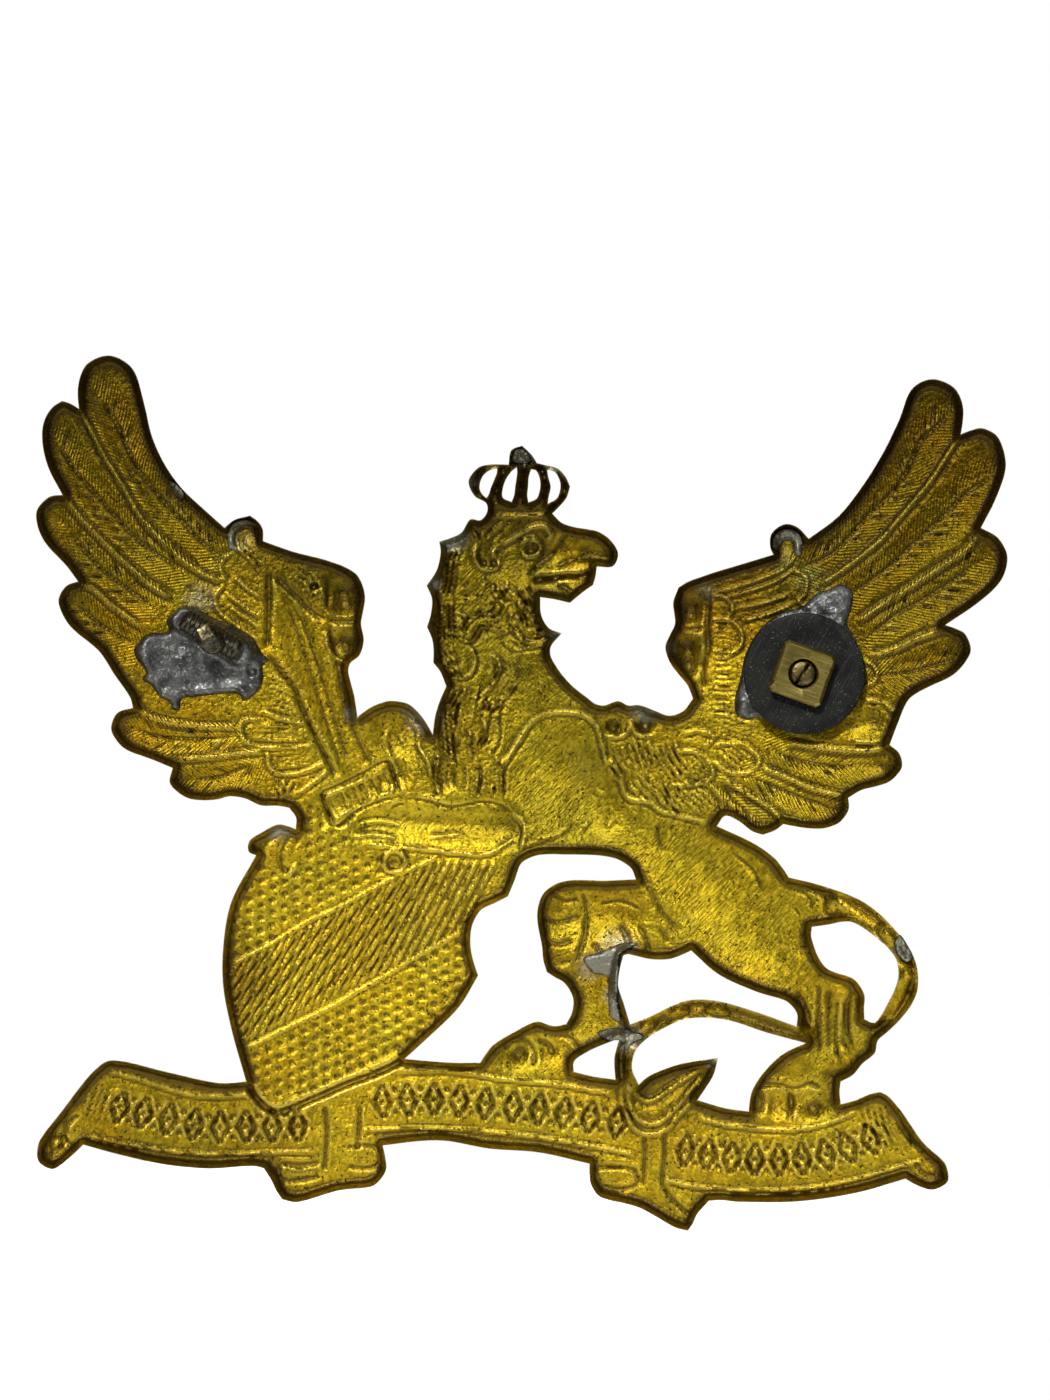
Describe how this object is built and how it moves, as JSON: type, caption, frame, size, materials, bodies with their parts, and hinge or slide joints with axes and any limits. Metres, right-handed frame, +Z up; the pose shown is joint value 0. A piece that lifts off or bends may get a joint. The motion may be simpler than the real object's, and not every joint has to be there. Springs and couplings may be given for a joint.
{
  "type": "cap badge",
  "caption": "Die-struck sheet-brass cap badge, a crowned winged beast with sword, shield and scroll, held by soldered threaded studs with washer and square nut.",
  "frame": {"origin": "midway between the two studs, on the plane that the middle of the plate's rim touches", "axes": "+Z up as the badge is worn, +Y out of the hollow back along the studs, towards the cap; the display side faces -Y"},
  "size_m": [0.1198, 0.0126, 0.1062],
  "materials": {
    "plate_brass": "olive-yellow sheet brass with brown and green patina in the recesses",
    "stud_brass": "dull threaded brass, greyed by solder",
    "nut_brass": "satin filed brass",
    "solder": "dull grey soft solder with bright specks",
    "washer": "dark matt grey with fine scratches"
  },
  "bodies": {
    "plate": {"badge_plate": "plate_brass", "left_solder_pool": "solder", "left_cross_bar": "stud_brass", "left_stud_stub": "stud_brass", "right_solder_pool": "solder", "right_stud_base": "stud_brass", "right_threaded_post": "stud_brass", "hind_leg_solder": "solder", "tail_crossing_solder": "solder", "tail_solder_spot": "solder", "crown_orb_solder": "solder", "wing_edge_solder": "solder", "left_curl_deposit": "solder", "right_curl_deposit": "solder"},
    "washer": {"right_washer": "washer"},
    "nut": {"right_square_nut": "nut_brass"}
  },
  "joints": [
    {"name": "washer_slide", "type": "slide", "parent": "plate", "child": "washer", "axis": [0, 1, 0], "range_m": [0, 0.0018]},
    {"name": "nut_turn", "type": "hinge", "parent": "washer", "child": "nut", "pos_m": [-0.0361, 0.0045, -0.00032], "axis": [0, 1, 0], "range_deg": [0, 1080]}
  ],
  "couplings": [
    {"joint": "nut_turn", "follows": "washer_slide", "rad_per_m": 10472}
  ]
}
